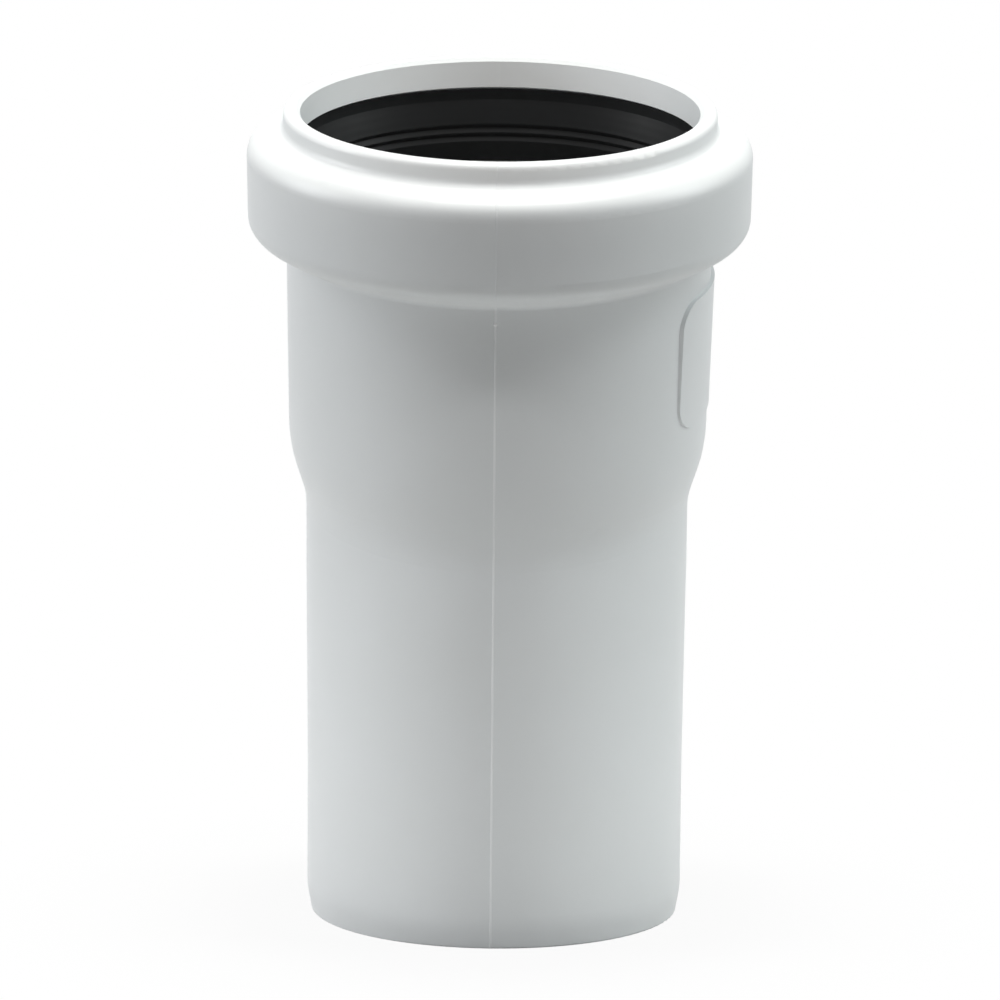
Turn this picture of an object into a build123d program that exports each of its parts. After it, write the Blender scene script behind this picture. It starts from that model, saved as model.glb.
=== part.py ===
"""A 15 degree push-fit waste pipe bend for 50 mm pipe: one moulded body and the lip seal in its socket."""
import os
from math import cos, radians, tan

from build123d import *

# All sizes are in millimetres and degrees.
# The spigot's end face is at the origin, its axis is +Z, and the socket leans towards -Y.

# Pipe system
pipe_radius = 25.0
wall = 1.8
socket_wall = 2.1
socket_clearance = 0.35
rim_clearance = 0.5

# The two axes and the short bend between them
bend_angle = 15.0
bend_radius = 60.0
spigot_leg = 55.0
socket_leg = 53.7

# Spigot: a tapered lead-in, the true cylinder that a seal grips, then a slightly stouter neck
lead_in_height = 3.2
lead_in_depth = 0.6
lead_in_rounding = 10.0
end_rounding = 0.3
grip_length = 20.0
neck_growth = 0.27

# Shoulder from the neck out to the socket body
shoulder_start = 1.8
shoulder_angle = 17.0
shoulder_top_rounding = 20.0
shoulder_foot_rounding = 10.0
shoulder_buried_length = 6.0

# Rim and seal collar, as depths below the rim and wall thicknesses
rim_wall = 2.2
rim_outer_rounding = 0.8
rim_inner_rounding = 0.5
crown_depth = 2.35
crown_drop = 1.95
crown_root_rounding = 0.8
crown_edge_rounding = 2.5
groove_top_depth = 4.0
groove_height = 10.6
groove_reach = 4.85
collar_wall = 2.15
collar_floor = 0.75
collar_taper = 2.6
collar_low_rounding = 2.7
junction_rounding = 0.8

# Marking plate raised on the +X side of the socket body, a little more at its top than at its foot
plate_width = 30.6
plate_height = 17.1
plate_corner = 3.5
plate_low_edge = 14.9
plate_low_rise = 0.2
plate_high_rise = 0.55

# Lip seal
seal_clearance = 0.1
rib_clearance = 0.15
rib_pitch = 1.2
rib_height = 0.45
rib_count = 3
bead_thickness = 3.9
bead_lip_depth = 1.5
bead_foot_thickness = 1.6
lip_slope_height = 3.13
lip_tip_length = 2.9
lip_tip_flare = 0.6
lip_tip_thickness = 0.8
lip_root_thickness = 2.3
lip_root_depth = 1.4

# Radii that follow from the sizes above
spigot_bore = pipe_radius - wall
neck_radius = pipe_radius + neck_growth
socket_bore = pipe_radius + socket_clearance
rim_bore = pipe_radius + rim_clearance
rim_radius = rim_bore + rim_wall
body_radius = socket_bore + socket_wall
groove_radius = socket_bore + groove_reach
collar_radius = groove_radius + collar_wall

# Heights along the socket axis, from the point where the two axes cross
groove_top = socket_leg - groove_top_depth
groove_bottom = groove_top - groove_height
collar_low = groove_bottom - collar_floor
collar_foot = collar_low - collar_taper
crown_root = socket_leg - crown_depth
crown_edge = crown_root - crown_drop
crown_slope = crown_drop / (collar_radius - rim_radius)
groove_shoulder = groove_top - crown_slope * (groove_radius - rim_bore)

# The shoulder is a cone outside and the same cone inside, a wall's thickness apart
shoulder_slope = tan(radians(shoulder_angle))
shoulder_wall = wall / cos(radians(shoulder_angle))
shoulder_top = shoulder_start + (body_radius - neck_radius) / shoulder_slope
stop_top = shoulder_start + (socket_bore - neck_radius + shoulder_wall) / shoulder_slope
shoulder_foot = shoulder_start - shoulder_buried_length
shoulder_foot_radius = neck_radius - shoulder_buried_length * shoulder_slope

# Planes and axes
bend_tangent = bend_radius * tan(radians(bend_angle / 2))
spigot_top = spigot_leg - bend_tangent
bend_point = Vector(0, 0, spigot_leg)
bend_axis = Axis((0, -bend_radius, spigot_top), (1, 0, 0))
socket_direction = Vector(0, 0, 1).rotate(Axis.X, bend_angle)
socket_axis = Axis(bend_point, socket_direction)
socket_frame = Plane(bend_point, x_dir=(1, 0, 0), z_dir=socket_direction)
socket_section = Plane(bend_point, x_dir=socket_frame.y_dir, z_dir=(1, 0, 0))
bend_start = Plane.XY.offset(spigot_top)

# Marking plate: a rounded rectangle, seen along X, taken out of a ring that flares towards its top
plate_foot = plate_low_edge - plate_corner
plate_head = plate_low_edge + plate_height + plate_corner
with BuildPart() as marking_plate:
    with BuildSketch(socket_section):
        with BuildLine():
            Polyline(
                (0, plate_foot),
                (body_radius + plate_low_rise, plate_foot),
                (body_radius + plate_high_rise, plate_head),
                (0, plate_head),
                close=True,
            )
        make_face()
    revolve(axis=socket_axis)
    with BuildSketch(socket_section):
        with Locations((0, plate_low_edge + plate_height / 2)):
            RectangleRounded(plate_width, plate_height, plate_corner)
    extrude(amount=collar_radius, mode=Mode.INTERSECT)

# Moulded body: solid outside form first, then the waterway and the seal groove cut out of it
with BuildPart() as bend_body:
    with BuildSketch(Plane.XZ):
        with BuildLine():
            FilletPolyline(
                (0, 0),
                (pipe_radius - lead_in_depth, 0),
                (pipe_radius, lead_in_height),
                (pipe_radius, grip_length),
                (neck_radius, spigot_top),
                (0, spigot_top),
                radius=[0, end_rounding, lead_in_rounding, 0, 0, 0],
                close=True,
            )
        make_face()
    revolve(axis=Axis.Z)
    with BuildSketch(bend_start):
        Circle(neck_radius)
    revolve(axis=bend_axis, revolution_arc=bend_angle)
    with BuildSketch(socket_section):
        with BuildLine():
            FilletPolyline(
                (0, shoulder_foot),
                (shoulder_foot_radius, shoulder_foot),
                (body_radius, shoulder_top),
                (body_radius, collar_foot),
                (collar_radius, collar_low),
                (collar_radius, crown_edge),
                (rim_radius, crown_root),
                (rim_radius, socket_leg),
                (0, socket_leg),
                radius=[
                    0,
                    0,
                    shoulder_top_rounding,
                    junction_rounding,
                    collar_low_rounding,
                    crown_edge_rounding,
                    crown_root_rounding,
                    rim_outer_rounding,
                    0,
                ],
                close=True,
            )
        make_face()
    revolve(axis=socket_axis)
    fillet(bend_body.edges(Select.NEW), radius=shoulder_foot_rounding)
    add(marking_plate.part)

    with BuildSketch():
        Circle(spigot_bore)
    extrude(amount=spigot_top, mode=Mode.SUBTRACT)
    with BuildSketch(bend_start):
        Circle(spigot_bore)
    revolve(axis=bend_axis, revolution_arc=bend_angle, mode=Mode.SUBTRACT)
    with BuildSketch(socket_section):
        with BuildLine():
            FilletPolyline(
                (0, shoulder_foot),
                (shoulder_foot_radius - shoulder_wall, shoulder_foot),
                (socket_bore, stop_top),
                (socket_bore, groove_bottom),
                (groove_radius, groove_bottom),
                (groove_radius, groove_shoulder),
                (rim_bore, groove_top),
                (rim_bore, socket_leg - rim_inner_rounding),
                (rim_bore + rim_inner_rounding, socket_leg),
                (0, socket_leg),
                radius=0,
                close=True,
            )
        make_face()
    revolve(axis=socket_axis, mode=Mode.SUBTRACT)

# Lip seal: a bead in the groove, a sloping lip that guides the pipe in, ribs that grip it, a relief behind
bead_radius = groove_radius - seal_clearance
bead_inner = bead_radius - bead_thickness
bead_foot_inner = bead_radius - bead_foot_thickness
seal_foot = groove_bottom + seal_clearance
rib_crest = pipe_radius + rib_clearance


def under_groove_flank(radius):
    """Height just under the groove's sloping top flank at this radius."""
    return groove_top - crown_slope * (radius - rim_bore) - seal_clearance


lip_edge = under_groove_flank(bead_inner) - bead_lip_depth - lip_slope_height
rib_points = []
for rib in range(rib_count):
    crest_height = lip_edge - rib * rib_pitch
    if rib:
        rib_points.append((rib_crest + rib_height, crest_height + rib_pitch / 2))
    rib_points.append((rib_crest, crest_height))
last_crest = lip_edge - (rib_count - 1) * rib_pitch
lip_tip = last_crest - lip_tip_length
with BuildPart() as seal_ring:
    with BuildSketch(socket_section):
        with BuildLine():
            Polyline(
                (bead_radius, seal_foot),
                (bead_radius, under_groove_flank(bead_radius)),
                (bead_inner, under_groove_flank(bead_inner)),
                (bead_inner, under_groove_flank(bead_inner) - bead_lip_depth),
                *rib_points,
                (rib_crest + lip_tip_flare, lip_tip),
                (rib_crest + lip_tip_flare + lip_tip_thickness, lip_tip),
                (rib_crest + lip_root_thickness, lip_edge - lip_root_depth),
                (bead_foot_inner, seal_foot),
                close=True,
            )
        make_face()
    revolve(axis=socket_axis)

bend_body.part.label = "bend_body"
seal_ring.part.label = "seal_ring"
os.makedirs("parts", exist_ok=True)
export_step(bend_body.part, "parts/bend_body.step")
export_step(seal_ring.part, "parts/seal_ring.step")
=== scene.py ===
"""A white push-fit waste pipe bend with its black lip seal, finished and lit for a studio picture."""
from math import cos, radians, sin, tan

import bmesh
import bpy
from mathutils import Matrix, Vector


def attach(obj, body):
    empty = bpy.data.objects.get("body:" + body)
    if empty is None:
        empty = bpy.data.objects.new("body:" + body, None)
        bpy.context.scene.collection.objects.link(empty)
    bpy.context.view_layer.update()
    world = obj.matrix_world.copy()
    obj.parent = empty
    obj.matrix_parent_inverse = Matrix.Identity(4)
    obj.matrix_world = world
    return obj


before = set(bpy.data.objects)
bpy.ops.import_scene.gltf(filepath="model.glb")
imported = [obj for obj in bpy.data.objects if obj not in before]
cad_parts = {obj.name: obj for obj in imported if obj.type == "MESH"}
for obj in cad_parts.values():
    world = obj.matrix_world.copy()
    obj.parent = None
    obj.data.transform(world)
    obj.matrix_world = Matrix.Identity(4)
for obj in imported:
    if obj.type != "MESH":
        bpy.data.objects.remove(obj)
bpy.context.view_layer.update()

bl_info = {
    "name": "Waste pipe bend",
    "version": (1, 0, 0),
    "blender": (4, 5, 0),
    "location": "3D View > Sidebar > Pipe bend",
    "description": "Finishes a push-fit waste pipe bend and sets it on a white studio floor",
    "category": "Object",
}

BODY = "root"
MOULDING_NODE = "bend_body"
SEAL_NODE = "seal_ring"
PLASTIC_SLOT = "moulded_polypropylene"

# All lengths are in metres.
# The two axes of the bend, as the solids have them
BEND_HEIGHT = 0.055
LEAN = radians(15)
SOCKET_AXIS = Vector((0, -sin(LEAN), cos(LEAN)))
SOCKET_FRONT = Vector((0, -cos(LEAN), -sin(LEAN)))
BEND_POINT = Vector((0, 0, BEND_HEIGHT))
# Foot of the seal collar, as a distance from the bend point along the socket
COLLAR_FOOT = 0.0357
# Further from the socket's axis than any wall
CLEAR_OF_WALLS = 0.1

# Corners of the solids' triangles closer than this are one corner, and closer to a cut lie on it
SAME_CORNER = 1e-6
ON_THE_CUT = 1e-7
# Skin that faces outwards less than this lies flat or belongs to the bore
LEAST_OUTWARD = 0.08

# Sizes of the patterns in the materials
FLOW_MARK_WIDTH = 0.018
SPECK_SPACING = 0.016
SPECK_CORE_RADIUS = 0.000096
SPECK_EDGE_RADIUS = 0.000192
SATIN_PATCH_WIDTH = 0.004
SKIN_GRAIN = 0.0005
SKIN_DEPTH = 0.00002
# Length of the patches of whiter plastic and painted highlight along the seam
LIGHTER_PATCH_LENGTH = 0.005
BLOOM_WIDTH = 0.006
# A wave repeats about three times in its unit, so the seal's rings are 1.1 mm apart
RING_WAVE_UNIT = 0.0035
RING_DEPTH = 0.00003

# Distances from the part's axis between which the floor turns white to the lens and loses its grey
WHITENING_START, WHITENING_END = 0.03, 0.08
GREY_START, GREY_END = 0.028, 0.05
# Share of pure white that the lens sees in the floor at the part's foot
FOOT_WHITENESS = 0.93

POLYPROPYLENE_IOR = 1.49
RUBBER_IOR = 1.52
WHITE = (1, 1, 1, 1)
# Sockets of a Mix node that mixes two colours
COLOUR_A, COLOUR_B, MIXED_COLOUR = 6, 7, 2
SENSOR_WIDTH = 36


class PipeBendSizes(bpy.types.PropertyGroup):
    """Sizes of the marks that moulding leaves on the body"""

    seam_width: bpy.props.FloatProperty(
        name="Seam width",
        description="Width of the raised line where the mould closes",
        default=0.00042,
        unit="LENGTH",
        precision=5,
    )
    seam_height: bpy.props.FloatProperty(
        name="Seam height",
        description="How far that line stands above the wall",
        default=0.00004,
        unit="LENGTH",
        precision=5,
    )
    seam_sink: bpy.props.FloatProperty(
        name="Seam sink",
        description="How far the sides of that line lie under the wall's skin",
        default=0.00002,
        unit="LENGTH",
        precision=5,
    )
    seam_thickness: bpy.props.FloatProperty(
        name="Seam thickness",
        description="How thick that line is, most of it inside the wall",
        default=0.0002,
        unit="LENGTH",
        precision=5,
    )
    seam_offset: bpy.props.FloatProperty(
        name="Seam offset",
        description="Distance of the line from the middle plane of the bend",
        default=-0.00035,
        unit="LENGTH",
        precision=5,
    )
    gate_diameter: bpy.props.FloatProperty(
        name="Gate mark diameter",
        description="Foot of the pip where the plastic entered the mould",
        default=0.0005,
        unit="LENGTH",
        precision=5,
    )
    gate_height: bpy.props.FloatProperty(
        name="Gate mark height",
        description="How far the pip stands above the wall",
        default=0.00012,
        unit="LENGTH",
        precision=5,
    )
    gate_level: bpy.props.FloatProperty(
        name="Gate mark level",
        description="Distance of the pip from the bend point along the socket",
        default=0.0335,
        unit="LENGTH",
        precision=5,
    )


class PipeBendFinish(bpy.types.PropertyGroup):
    """Colours of the two materials and of the studio"""

    plastic_colour: bpy.props.StringProperty(
        name="Plastic",
        description="Colour of the white moulding, as an sRGB hex value",
        default="#E4E7E8",
    )
    plastic_drift: bpy.props.StringProperty(
        name="Plastic drift",
        description="The slightly different white that flow leaves in places",
        default="#DFE2E2",
    )
    # Whiter plastic for the seam and the gate mark: partly stress-whitened plastic, partly a painted
    # highlight for the light these marks catch
    whitened_and_highlight_colour: bpy.props.StringProperty(
        name="Whitened plastic",
        description="The whiter plastic where the mould pinched or tore it",
        default="#FBFCFC",
    )
    # Shares of that whiter plastic, partly stress-whitened and partly painted highlight
    seam_whitening_and_highlight: bpy.props.FloatProperty(
        name="Seam whitening",
        description="Share of the whiter plastic in the pinched seam",
        default=0.42,
        subtype="FACTOR",
    )
    gate_whitening_and_highlight: bpy.props.FloatProperty(
        name="Gate mark whitening",
        description="Share of the whiter plastic in the torn gate mark",
        default=1.0,
        subtype="FACTOR",
    )
    speck_colour: bpy.props.StringProperty(
        name="Speck",
        description="Colour of the rare dark specks in the plastic",
        default="#7F7B73",
    )
    rubber_colour: bpy.props.StringProperty(
        name="Rubber",
        description="Colour of the seal, as an sRGB hex value",
        default="#111212",
    )
    rubber_bloom: bpy.props.StringProperty(
        name="Rubber bloom",
        description="The greyer film that the seal carries in places",
        default="#191A1B",
    )
    floor_colour: bpy.props.StringProperty(
        name="Floor",
        description="Colour of the studio floor",
        default="#DCDCDC",
    )
    floor_foot_colour: bpy.props.StringProperty(
        name="Floor at the foot",
        description="Greyer colour of the floor close to the part",
        default="#BABABA",
    )


class PipeBendStudio(bpy.types.PropertyGroup):
    """Light and camera of the studio"""

    top_power: bpy.props.FloatProperty(
        name="Top light", description="Softbox overhead", default=6.4, unit="POWER"
    )
    front_power: bpy.props.FloatProperty(
        name="Front light", description="Strip above the camera", default=2.95, unit="POWER"
    )
    left_power: bpy.props.FloatProperty(
        name="Left light", description="Panel on the left", default=4.5, unit="POWER"
    )
    right_power: bpy.props.FloatProperty(
        name="Right light", description="Panel on the right", default=4.35, unit="POWER"
    )
    low_power: bpy.props.FloatProperty(
        name="Low light", description="Card under the camera", default=0.22, unit="POWER"
    )
    mouth_power: bpy.props.FloatProperty(
        name="Mouth light",
        description="Flat beam over the front of the rim and onto its inner wall",
        default=0.95,
        unit="POWER",
    )
    mouth_beam_width: bpy.props.FloatProperty(
        name="Mouth light width",
        description="Angle of that beam from side to side",
        default=radians(28),
        subtype="ANGLE",
    )
    mouth_beam_flatness: bpy.props.FloatProperty(
        name="Mouth light flatness",
        description="Height of that beam as a share of its width",
        default=0.3,
    )
    floor_half_size: bpy.props.FloatProperty(
        name="Floor half size",
        description="Distance from the middle of the floor sheet to its edges",
        default=0.13,
        unit="LENGTH",
    )
    camera_distance: bpy.props.FloatProperty(
        name="Camera distance",
        description="Distance from the lens to the aim point",
        default=0.4505,
        unit="LENGTH",
    )
    camera_height: bpy.props.FloatProperty(
        name="Aim height",
        description="Height of the point that the lens looks at",
        default=0.0606,
        unit="LENGTH",
    )
    camera_tilt: bpy.props.FloatProperty(
        name="Camera tilt",
        description="How far the lens looks down",
        default=radians(5.64),
        subtype="ANGLE",
    )
    camera_roll: bpy.props.FloatProperty(
        name="Camera roll",
        description="How far the camera is turned about its line of sight",
        default=radians(0.5),
        subtype="ANGLE",
    )
    camera_lens: bpy.props.FloatProperty(
        name="Lens", description="Focal length on a 36 mm sensor", default=122.08, unit="CAMERA"
    )
    camera_shift: bpy.props.FloatVectorProperty(
        name="Lens shift",
        description="Shift of the picture across and up, as a share of its width",
        default=(0.0027, -0.043),
        size=2,
        subtype="XYZ",
        precision=4,
    )


def linear(hex_colour):
    """The linear colour, with alpha, of an sRGB hex value."""
    channels = [int(hex_colour[i:i + 2], 16) / 255 for i in (1, 3, 5)]
    return [c / 12.92 if c <= 0.04045 else ((c + 0.055) / 1.055) ** 2.4 for c in channels] + [1.0]


def add_node(tree, kind, links=(), **settings):
    """Add a node, give its sockets and settings their values, and link sources to its inputs."""
    node = tree.nodes.new(kind)
    for name, value in settings.items():
        socket = node.inputs.get(name.replace("_", " ")) if name[0].isupper() else None
        if socket is not None:
            socket.default_value = value
        else:
            setattr(node, name, value)
    for source, target in links:
        tree.links.new(source, node.inputs[target])
    return node


def new_material(name):
    """An empty material and its node tree."""
    material = bpy.data.materials.new(name)
    material.use_nodes = True
    material.node_tree.nodes.clear()
    return material, material.node_tree


def give_material(piece, material):
    """The piece carries this one material."""
    piece.data.materials.clear()
    piece.data.materials.append(material)


def moulded_polypropylene(finish):
    """White polypropylene from a polished mould: an even satin white, faint flow marks, rare specks."""
    material, tree = new_material("moulded_polypropylene_white")
    place = add_node(tree, "ShaderNodeTexCoord").outputs["Object"]
    flow = add_node(
        tree, "ShaderNodeTexNoise", [(place, "Vector")], Scale=1 / FLOW_MARK_WIDTH, Detail=3.0
    )
    drift = add_node(tree, "ShaderNodeMix", [(flow.outputs["Fac"], "Factor")], data_type="RGBA")
    drift.inputs[COLOUR_A].default_value = linear(finish.plastic_colour)
    drift.inputs[COLOUR_B].default_value = linear(finish.plastic_drift)
    # Specks at the cells' middles, few of which lie in the skin
    cells = add_node(tree, "ShaderNodeTexVoronoi", [(place, "Vector")], Scale=1 / SPECK_SPACING)
    speck = add_node(
        tree,
        "ShaderNodeMapRange",
        [(cells.outputs["Distance"], "Value")],
        interpolation_type="SMOOTHSTEP",
        From_Min=SPECK_CORE_RADIUS / SPECK_SPACING,
        From_Max=SPECK_EDGE_RADIUS / SPECK_SPACING,
        To_Min=0.75,
        To_Max=0.0,
    )
    colour = add_node(
        tree,
        "ShaderNodeMix",
        [(speck.outputs["Result"], "Factor"), (drift.outputs[MIXED_COLOUR], COLOUR_A)],
        data_type="RGBA",
    )
    colour.inputs[COLOUR_B].default_value = linear(finish.speck_colour)
    # The satin varies a little from patch to patch
    patches = add_node(
        tree, "ShaderNodeTexNoise", [(place, "Vector")], Scale=1 / SATIN_PATCH_WIDTH, Detail=4.0
    )
    satin = add_node(
        tree, "ShaderNodeMapRange", [(patches.outputs["Fac"], "Value")], To_Min=0.34, To_Max=0.46
    )
    # Skin texture of the mould, drawn coarser than it is so that it shows
    skin = add_node(tree, "ShaderNodeTexNoise", [(place, "Vector")], Scale=1 / SKIN_GRAIN, Detail=2.0)
    relief = add_node(
        tree, "ShaderNodeBump", [(skin.outputs["Fac"], "Height")], Strength=0.06, Distance=SKIN_DEPTH
    )
    shader = add_node(
        tree,
        "ShaderNodeBsdfPrincipled",
        [
            (colour.outputs[MIXED_COLOUR], "Base Color"),
            (satin.outputs["Result"], "Roughness"),
            (relief.outputs["Normal"], "Normal"),
        ],
        IOR=POLYPROPYLENE_IOR,
    )
    add_node(tree, "ShaderNodeOutputMaterial", [(shader.outputs["BSDF"], "Surface")])
    return material


def whitened_and_highlit_polypropylene(finish, name, lightening):
    """Polypropylene that the mould pinched or tore: whiter by this share, partly stress-whitened and
    partly a painted highlight, and more matt than the skin.
    """
    material, tree = new_material(name)
    place = add_node(tree, "ShaderNodeTexCoord").outputs["Object"]
    # The whiter plastic and its painted highlight come and go along the line
    lighter_patches = add_node(tree, "ShaderNodeTexNoise", [(place, "Vector")], Scale=1 / LIGHTER_PATCH_LENGTH, Detail=2.0)
    share = add_node(
        tree,
        "ShaderNodeMapRange",
        [(lighter_patches.outputs["Fac"], "Value")],
        From_Min=0.3,
        From_Max=0.5,
        To_Min=0.6 * lightening,
        To_Max=lightening,
    )
    colour = add_node(tree, "ShaderNodeMix", [(share.outputs["Result"], "Factor")], data_type="RGBA")
    colour.inputs[COLOUR_A].default_value = linear(finish.plastic_colour)
    colour.inputs[COLOUR_B].default_value = linear(finish.whitened_and_highlight_colour)
    shader = add_node(
        tree,
        "ShaderNodeBsdfPrincipled",
        [(colour.outputs[MIXED_COLOUR], "Base Color")],
        Roughness=0.5,
        IOR=POLYPROPYLENE_IOR,
    )
    add_node(tree, "ShaderNodeOutputMaterial", [(shader.outputs["BSDF"], "Surface")])
    return material


def seal_rubber(finish):
    """Black moulded seal rubber: deep black, half matt, with fine turned rings and a grey bloom."""
    material, tree = new_material("moulded_seal_rubber")
    place = add_node(tree, "ShaderNodeTexCoord").outputs["Object"]
    # The mould's rings run round the socket axis
    turned = add_node(
        tree,
        "ShaderNodeMapping",
        [(place, "Vector")],
        vector_type="TEXTURE",
        Location=BEND_POINT,
        Rotation=(LEAN, 0, 0),
    )
    film = add_node(tree, "ShaderNodeTexNoise", [(place, "Vector")], Scale=1 / BLOOM_WIDTH, Detail=5.0)
    colour = add_node(tree, "ShaderNodeMix", [(film.outputs["Fac"], "Factor")], data_type="RGBA")
    colour.inputs[COLOUR_A].default_value = linear(finish.rubber_colour)
    colour.inputs[COLOUR_B].default_value = linear(finish.rubber_bloom)
    rings = add_node(
        tree,
        "ShaderNodeTexWave",
        [(turned.outputs["Vector"], "Vector")],
        wave_type="BANDS",
        bands_direction="Z",
        Scale=1 / RING_WAVE_UNIT,
        Distortion=0.4,
    )
    relief = add_node(
        tree, "ShaderNodeBump", [(rings.outputs["Fac"], "Height")], Strength=0.25, Distance=RING_DEPTH
    )
    gloss = add_node(
        tree, "ShaderNodeMapRange", [(film.outputs["Fac"], "Value")], To_Min=0.42, To_Max=0.6
    )
    shader = add_node(
        tree,
        "ShaderNodeBsdfPrincipled",
        [
            (colour.outputs[MIXED_COLOUR], "Base Color"),
            (gloss.outputs["Result"], "Roughness"),
            (relief.outputs["Normal"], "Normal"),
        ],
        IOR=RUBBER_IOR,
        Specular_IOR_Level=0.14,
    )
    add_node(tree, "ShaderNodeOutputMaterial", [(shader.outputs["BSDF"], "Surface")])
    return material


def seen_by_lens(tree):
    """1 for what the lens sees, also mirrored or through clear things, and 0 for light on the part."""
    ray = add_node(tree, "ShaderNodeLightPath")
    seen = add_node(
        tree,
        "ShaderNodeMath",
        [(ray.outputs["Is Camera Ray"], 0), (ray.outputs["Is Glossy Ray"], 1)],
        operation="MAXIMUM",
    )
    seen_through = add_node(
        tree,
        "ShaderNodeMath",
        [(seen.outputs[0], 0), (ray.outputs["Is Transmission Ray"], 1)],
        operation="MAXIMUM",
    )
    return seen_through.outputs[0]


def studio_floor_paper(finish):
    """Pale floor paper, pure white to the lens far out, with a soft shadow around the part's foot."""
    material, tree = new_material("studio_floor_paper")
    place = add_node(tree, "ShaderNodeTexCoord").outputs["Object"]
    distance = add_node(tree, "ShaderNodeVectorMath", [(place, 0)], operation="LENGTH")
    whiteness = add_node(
        tree,
        "ShaderNodeMapRange",
        [(distance.outputs["Value"], "Value")],
        interpolation_type="SMOOTHSTEP",
        From_Min=WHITENING_START,
        From_Max=WHITENING_END,
        To_Min=FOOT_WHITENESS,
        To_Max=1.0,
    )
    share = add_node(
        tree,
        "ShaderNodeMath",
        [(seen_by_lens(tree), 0), (whiteness.outputs["Result"], 1)],
        operation="MULTIPLY",
    )
    # Greyer close to the part, so that the foot gets no more light than the rest
    clear = add_node(
        tree,
        "ShaderNodeMapRange",
        [(distance.outputs["Value"], "Value")],
        interpolation_type="SMOOTHSTEP",
        From_Min=GREY_START,
        From_Max=GREY_END,
    )
    tone = add_node(tree, "ShaderNodeMix", [(clear.outputs["Result"], "Factor")], data_type="RGBA")
    tone.inputs[COLOUR_A].default_value = linear(finish.floor_foot_colour)
    tone.inputs[COLOUR_B].default_value = linear(finish.floor_colour)
    paper = add_node(tree, "ShaderNodeBsdfDiffuse", [(tone.outputs[MIXED_COLOUR], "Color")])
    white = add_node(tree, "ShaderNodeEmission", Color=WHITE, Strength=1.0)
    mix = add_node(
        tree,
        "ShaderNodeMixShader",
        [(share.outputs[0], 0), (paper.outputs[0], 1), (white.outputs[0], 2)],
    )
    add_node(tree, "ShaderNodeOutputMaterial", [(mix.outputs[0], "Surface")])
    return material


def plastic():
    """The one white plastic that the moulding and its marks share."""
    return bpy.data.materials.get("moulded_polypropylene_white") or moulded_polypropylene(
        bpy.context.scene.pipe_bend_finish
    )


def add_piece(name, mesh_in_making, slot, *materials):
    """Turn a bmesh into a piece of the object that rides on its body."""
    mesh = bpy.data.meshes.new(name)
    for material in materials:
        mesh.materials.append(material)
    mesh_in_making.to_mesh(mesh)
    mesh_in_making.free()
    mesh.shade_smooth()
    piece = bpy.data.objects.new(name, mesh)
    bpy.context.scene.collection.objects.link(piece)
    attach(piece, BODY)
    return piece


def outward(point):
    """The way out, along +Y or -Y, from the bend's middle line to a point in its middle plane."""
    middle = -max(0.0, point.z - BEND_HEIGHT) * tan(LEAN)
    return 1.0 if point.y > middle else -1.0


class PIPEBEND_OT_finish_moulding(bpy.types.Operator):
    """Give the moulded body its white satin plastic"""

    bl_idname = "pipebend.finish_moulding"
    bl_label = "Finish moulding"

    def execute(self, context):
        give_material(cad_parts[MOULDING_NODE], plastic())
        return {"FINISHED"}


class PIPEBEND_OT_finish_seal(bpy.types.Operator):
    """Give the lip seal its black rubber"""

    bl_idname = "pipebend.finish_seal"
    bl_label = "Finish seal"

    def execute(self, context):
        give_material(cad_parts[SEAL_NODE], seal_rubber(context.scene.pipe_bend_finish))
        return {"FINISHED"}


class PIPEBEND_OT_parting_seam(bpy.types.Operator):
    """Raise the fine line that the closing mould leaves down the front and back of the body"""

    bl_idname = "pipebend.parting_seam"
    bl_label = "Parting seam"

    def execute(self, context):
        sizes = context.scene.pipe_bend_sizes
        finish = context.scene.pipe_bend_finish
        strip = self.strip_of_skin(sizes)
        self.raise_middle(strip, sizes)
        # Below the collar the line is whiter than the skin, partly stress-whitened plastic and partly a
        # painted highlight for the light the ridge catches there, and on the collar it is only a ridge
        for face in strip.faces:
            level = (face.calc_center_median() - BEND_POINT).dot(SOCKET_AXIS)
            face.material_index = int(level < COLLAR_FOOT)
        pinched = whitened_and_highlit_polypropylene(finish, "pinched_and_highlit_polypropylene", finish.seam_whitening_and_highlight)
        seam = add_piece("parting_seam", strip, PLASTIC_SLOT, plastic(), pinched)
        seam.data.shade_flat()
        thickness = seam.modifiers.new("thickness", "SOLIDIFY")
        thickness.thickness = sizes.seam_thickness
        thickness.offset = -1
        return {"FINISHED"}

    def strip_of_skin(self, sizes):
        """A narrow strip of the body's own outer skin, with an edge down its middle."""
        half = sizes.seam_width / 2
        skin = bmesh.new()
        skin.from_mesh(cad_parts[MOULDING_NODE].data)
        bmesh.ops.remove_doubles(skin, verts=skin.verts, dist=SAME_CORNER)
        for x, side, clear in ((half, 1, True), (-half, -1, True), (0, 1, False)):
            bmesh.ops.bisect_plane(
                skin,
                geom=skin.verts[:] + skin.edges[:] + skin.faces[:],
                dist=ON_THE_CUT,
                plane_co=(sizes.seam_offset + x, 0, 0),
                plane_no=(side, 0, 0),
                clear_outer=clear,
            )
        skin.normal_update()
        inside = [
            face
            for face in skin.faces
            if face.normal.y * outward(face.calc_center_median()) < LEAST_OUTWARD
        ]
        bmesh.ops.delete(skin, geom=inside, context="FACES")
        skin.normal_update()
        return skin

    def raise_middle(self, strip, sizes):
        """Raise the middle edge where the wall stands upright, and sink the sides just under it."""
        for corner in strip.verts:
            upright = max(0.0, corner.normal.y * outward(corner.co))
            in_middle = abs(corner.co.x - sizes.seam_offset) < sizes.seam_width / 4
            rise = sizes.seam_height * upright if in_middle else -sizes.seam_sink
            corner.co += corner.normal * rise


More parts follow.
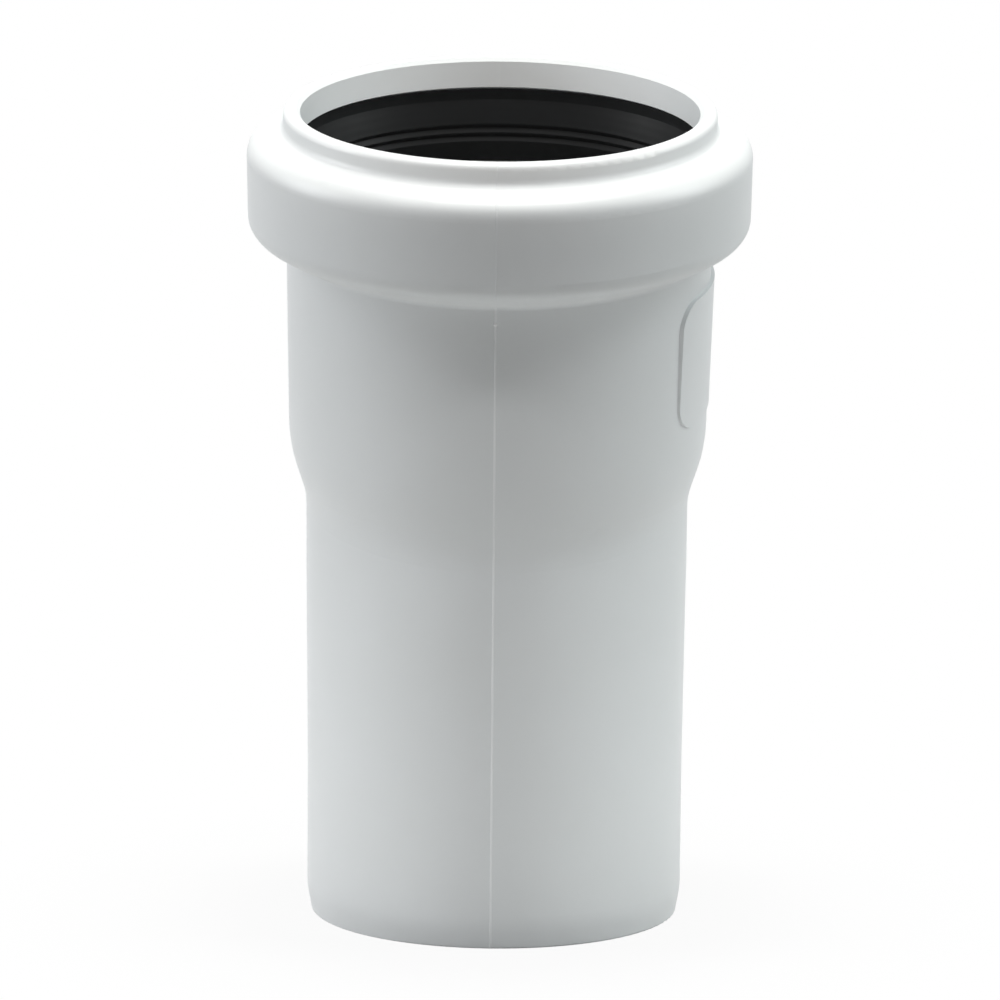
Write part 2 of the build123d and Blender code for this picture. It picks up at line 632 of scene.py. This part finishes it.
class PIPEBEND_OT_gate_mark(bpy.types.Operator):
    """Set the small round pip where the plastic entered the mould"""

    bl_idname = "pipebend.gate_mark"
    bl_label = "Gate mark"

    def execute(self, context):
        sizes = context.scene.pipe_bend_sizes
        finish = context.scene.pipe_bend_finish
        radius = sizes.gate_diameter / 2
        pip = bmesh.new()
        bmesh.ops.create_uvsphere(pip, u_segments=32, v_segments=16, radius=radius)
        bmesh.ops.scale(pip, verts=pip.verts, vec=(1, 1, sizes.gate_height / radius))
        wall = self.wall_at(sizes.seam_offset, sizes.gate_level)
        turn = SOCKET_FRONT.to_track_quat("Z", "Y").to_matrix().to_4x4()
        bmesh.ops.transform(pip, verts=pip.verts, matrix=Matrix.Translation(wall) @ turn)
        # The pip's whiter plastic is partly stress-whitened and partly a painted highlight for the light
        # it catches in the collar's shade
        torn = whitened_and_highlit_polypropylene(finish, "torn_and_highlit_polypropylene", finish.gate_whitening_and_highlight)
        add_piece("gate_mark", pip, PLASTIC_SLOT, torn)
        return {"FINISHED"}

    def wall_at(self, across, level):
        """The point of the front wall at this level of the socket, found by a ray from the front."""
        in_socket = Vector((across, 0, 0)) + BEND_POINT + SOCKET_AXIS * level
        start = in_socket + SOCKET_FRONT * CLEAR_OF_WALLS
        hit, point, _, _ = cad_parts[MOULDING_NODE].ray_cast(start, -SOCKET_FRONT)
        if not hit:
            raise RuntimeError("the gate mark misses the body's wall")
        return point


class PIPEBEND_OT_stage(bpy.types.Operator):
    """Lay the white floor and set the soft lights and the camera"""

    bl_idname = "pipebend.stage"
    bl_label = "Stage"

    def execute(self, context):
        scene = context.scene
        self.lay_floor(scene)
        self.light(scene)
        self.whiten_world(scene)
        self.set_camera(scene)
        scene.view_settings.view_transform = "Standard"
        return {"FINISHED"}

    def lay_floor(self, scene):
        """A square sheet of paper under the part."""
        sheet = bmesh.new()
        half = scene.pipe_bend_studio.floor_half_size
        bmesh.ops.create_grid(sheet, x_segments=1, y_segments=1, size=half)
        mesh = bpy.data.meshes.new("studio_floor")
        sheet.to_mesh(mesh)
        sheet.free()
        floor = bpy.data.objects.new("studio_floor", mesh)
        scene.collection.objects.link(floor)
        give_material(floor, studio_floor_paper(scene.pipe_bend_finish))

    def light(self, scene):
        """Soft lights around the part and a flat beam into its mouth."""
        studio = scene.pipe_bend_studio
        middle = (0.0, -0.01, 0.07)
        lamps = (
            ("top_softbox", (0.0, 0.03, 0.97), (0.5, 0.5), studio.top_power, "#FFFDF8"),
            ("front_strip", (0.0, -0.5, 0.82), (1.2, 0.06), studio.front_power, "#FFFFFF"),
            ("left_panel", (-0.83, -0.01, 0.4), (0.35, 0.6), studio.left_power, "#FBFDFF"),
            ("right_panel", (0.78, -0.01, 0.53), (0.35, 0.7), studio.right_power, "#F9FFFF"),
            ("low_card", (0.0, -0.6, 0.02), (0.8, 0.12), studio.low_power, "#FDFBFF"),
        )
        for name, place, size, power, tint in lamps:
            panel = bpy.data.lights.new(name, "AREA")
            panel.shape = "RECTANGLE"
            panel.size, panel.size_y = size
            panel.energy = power
            panel.color = linear(tint)[:3]
            self.hang_lamp(scene, panel, place, middle)
        # The beam clears the rim's front, fades out above the collar and leaves no glint in the rubber
        before_mouth = (0.0, -0.3, 0.108)
        inner_rim = (0.0, 0.011, 0.1115)
        beam = bpy.data.lights.new("mouth_beam", "SPOT")
        beam.energy = studio.mouth_power
        beam.color = linear("#FFF7F1")[:3]
        beam.spot_size = studio.mouth_beam_width
        beam.spot_blend = 1.0
        beam.shadow_soft_size = 0.004
        lamp = self.hang_lamp(scene, beam, before_mouth, inner_rim)
        lamp.scale.y = studio.mouth_beam_flatness
        lamp.visible_glossy = False

    def hang_lamp(self, scene, data, place, aim):
        """A lamp at this place, turned to its aim and hidden from the lens."""
        lamp = bpy.data.objects.new(data.name, data)
        lamp.location = place
        lamp.rotation_euler = (Vector(place) - Vector(aim)).to_track_quat("Z", "Y").to_euler()
        lamp.visible_camera = False
        scene.collection.objects.link(lamp)
        return lamp

    def whiten_world(self, scene):
        """A world that is white to the lens and sheds no light on the part."""
        world = bpy.data.worlds.new("studio")
        scene.world = world
        world.use_nodes = True
        tree = world.node_tree
        tree.nodes.clear()
        white = add_node(
            tree, "ShaderNodeBackground", [(seen_by_lens(tree), "Strength")], Color=WHITE
        )
        add_node(tree, "ShaderNodeOutputWorld", [(white.outputs[0], "Surface")])

    def set_camera(self, scene):
        """The lens in front of the part, looking a little down."""
        studio = scene.pipe_bend_studio
        data = bpy.data.cameras.new("studio_camera")
        data.sensor_width = SENSOR_WIDTH
        data.lens = studio.camera_lens
        data.shift_x, data.shift_y = studio.camera_shift
        back = Vector((0, -cos(studio.camera_tilt), sin(studio.camera_tilt)))
        right = Vector((1, 0, 0))
        turn = Matrix((right, back.cross(right), back)).transposed().to_4x4()
        aim = Vector((0, 0, studio.camera_height))
        camera = bpy.data.objects.new("studio_camera", data)
        camera.matrix_world = (
            Matrix.Translation(aim + back * studio.camera_distance)
            @ turn
            @ Matrix.Rotation(studio.camera_roll, 4, "Z")
        )
        scene.collection.objects.link(camera)
        scene.camera = camera


SETTINGS = {
    "pipe_bend_sizes": PipeBendSizes,
    "pipe_bend_finish": PipeBendFinish,
    "pipe_bend_studio": PipeBendStudio,
}
OPERATORS = (
    PIPEBEND_OT_finish_moulding,
    PIPEBEND_OT_finish_seal,
    PIPEBEND_OT_parting_seam,
    PIPEBEND_OT_gate_mark,
    PIPEBEND_OT_stage,
)


class PIPEBEND_PT_panel(bpy.types.Panel):
    """Sizes, colours and steps of the pipe bend"""

    bl_idname = "PIPEBEND_PT_panel"
    bl_label = "Pipe bend"
    bl_space_type = "VIEW_3D"
    bl_region_type = "UI"
    bl_category = "Pipe bend"

    def draw(self, context):
        for group in SETTINGS:
            settings = getattr(context.scene, group)
            for name in settings.bl_rna.properties.keys():
                if name not in ("rna_type", "name"):
                    self.layout.prop(settings, name)
        for operator in OPERATORS:
            self.layout.operator(operator.bl_idname)


def register():
    for group in SETTINGS.values():
        bpy.utils.register_class(group)
    for operator in OPERATORS:
        bpy.utils.register_class(operator)
    bpy.utils.register_class(PIPEBEND_PT_panel)
    for name, group in SETTINGS.items():
        setattr(bpy.types.Scene, name, bpy.props.PointerProperty(type=group))


def unregister():
    for name in SETTINGS:
        delattr(bpy.types.Scene, name)
    bpy.utils.unregister_class(PIPEBEND_PT_panel)
    for operator in reversed(OPERATORS):
        bpy.utils.unregister_class(operator)
    for group in reversed(SETTINGS.values()):
        bpy.utils.unregister_class(group)


def main():
    register()
    bpy.ops.pipebend.finish_moulding()
    bpy.ops.pipebend.finish_seal()
    bpy.ops.pipebend.parting_seam()
    bpy.ops.pipebend.gate_mark()
    bpy.ops.pipebend.stage()


if __name__ == "__main__":
    main()
